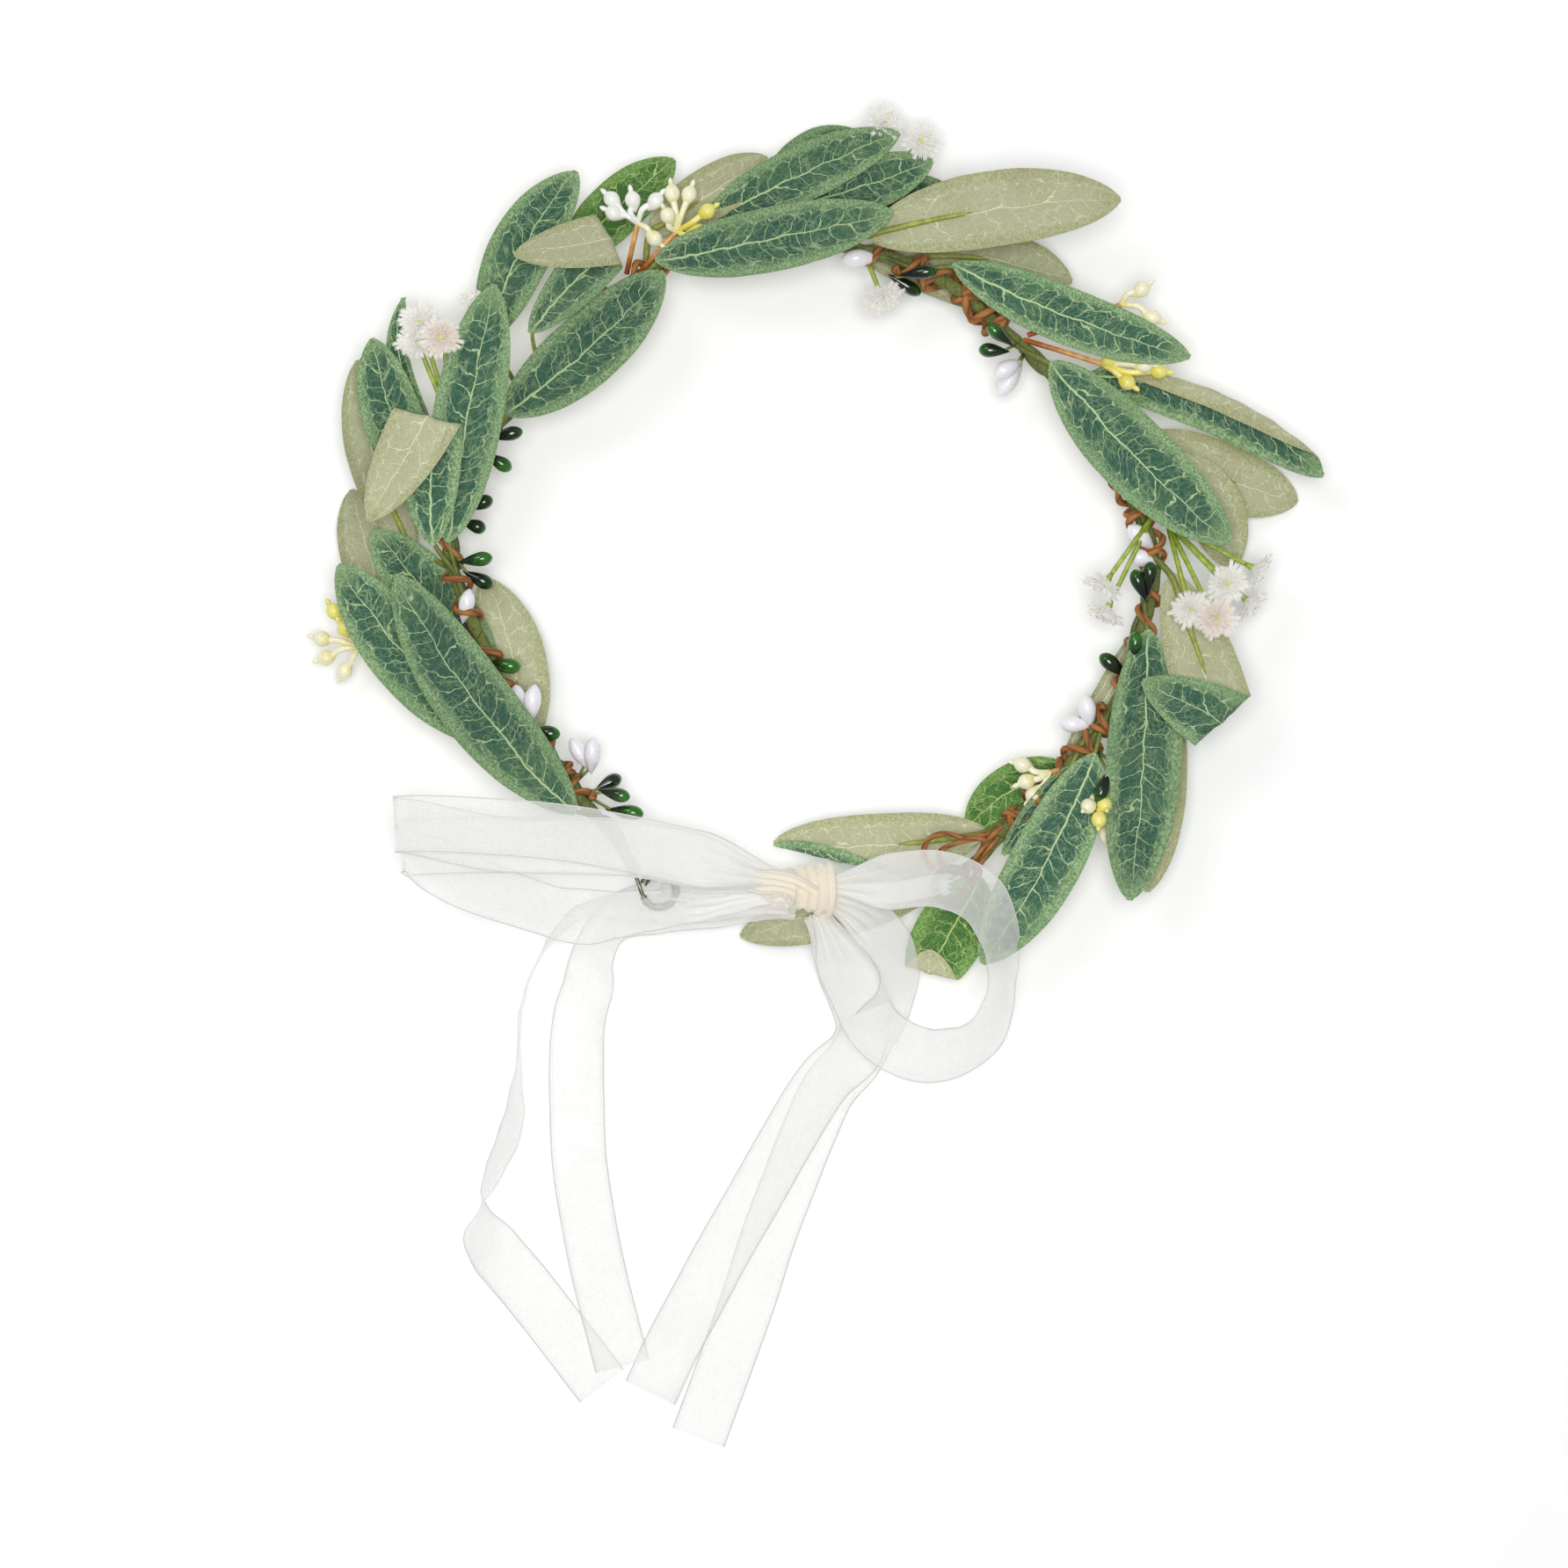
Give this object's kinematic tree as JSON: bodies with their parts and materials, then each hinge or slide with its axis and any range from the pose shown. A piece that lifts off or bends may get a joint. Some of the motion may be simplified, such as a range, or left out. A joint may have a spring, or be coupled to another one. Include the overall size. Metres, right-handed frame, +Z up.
{
  "type": "flower crown",
  "caption": "Open wire ring wound with paper cord, carrying cloth leaves, berries, buds and small flowers, tied at the open side with a sheer ribbon bow.",
  "frame": {"origin": "middle of the crown's bounding box in plan, on the surface that it lies on", "axes": "the crown lies flat: +Z up, +Y from the bow across the ring to the side opposite, +X to the right seen from above"},
  "size_m": [0.2682, 0.3554, 0.0358],
  "materials": {
    "wire": "dark green lacquered soft steel wire",
    "tape": "matt crepe paper tape, moss green",
    "paper_cord": "matt twisted kraft paper, rust brown",
    "leaf_top": "printed polyester cloth, matt with a fine weave, blue-green with pale veins",
    "leaf_under": "unprinted polyester cloth, matt with a fine weave, pale cream green",
    "leaf_bright": "printed polyester cloth, matt with a fine weave, fresh green with pale veins",
    "berry": "high gloss moulded plastic, near black to bright green",
    "bud": "pearly white moulded plastic",
    "gypsophila": "soft translucent white plastic petals on lime stalks",
    "cream": "translucent cream yellow moulded plastic",
    "ribbon": "sheer white organza with denser woven edges"
  },
  "bodies": {
    "root": {"core_wire": "wire", "stem_tape": "tape", "paper_cord_left": "paper_cord", "paper_cord_top": "paper_cord", "paper_cord_right": "paper_cord", "leaf_01": "leaf_top", "leaf_02": "leaf_top", "leaf_03": "leaf_top", "leaf_04": "leaf_under", "leaf_05": "leaf_under", "leaf_06": "leaf_top", "leaf_07": "leaf_top", "leaf_08": "leaf_top", "leaf_09": "leaf_under", "leaf_10": "leaf_top", "leaf_11": "leaf_top", "leaf_12": "leaf_top", "leaf_13": "leaf_top", "leaf_14": "leaf_top", "leaf_15": "leaf_top", "leaf_16": "leaf_top", "leaf_17": "leaf_under", "leaf_18": "leaf_top", "leaf_19": "leaf_under", "leaf_20": "leaf_top", "leaf_21": "leaf_top", "leaf_22": "leaf_under", "leaf_23": "leaf_under", "leaf_24": "leaf_top", "leaf_25": "leaf_top", "leaf_26": "leaf_bright", "leaf_27": "leaf_under", "berries_left_upper": "berry", "berries_left_middle": "berry", "berries_left_end": "berry", "berries_top": "berry", "berries_right_upper": "berry", "berries_right": "berry", "buds_left": "bud", "buds_upper_right": "bud", "buds_right": "bud", "gypsophila_left": "gypsophila", "gypsophila_top": "gypsophila", "gypsophila_right_inner": "gypsophila", "gypsophila_right_outer": "gypsophila", "cream_sprig_left": "cream", "cream_sprig_top": "cream", "cream_sprig_right_upper": "cream", "cream_sprig_right_lower": "cream", "bow_knot": "ribbon", "ribbon_strand_left": "ribbon", "ribbon_strand_right": "ribbon", "bow_loop_left_outer": "ribbon", "bow_loop_left_inner": "ribbon", "bow_loop_right_outer": "ribbon", "bow_loop_right_inner": "ribbon", "ribbon_tail_a": "ribbon", "ribbon_tail_b": "ribbon", "ribbon_tail_c": "ribbon", "ribbon_tail_d": "ribbon"}
  },
  "joints": []
}
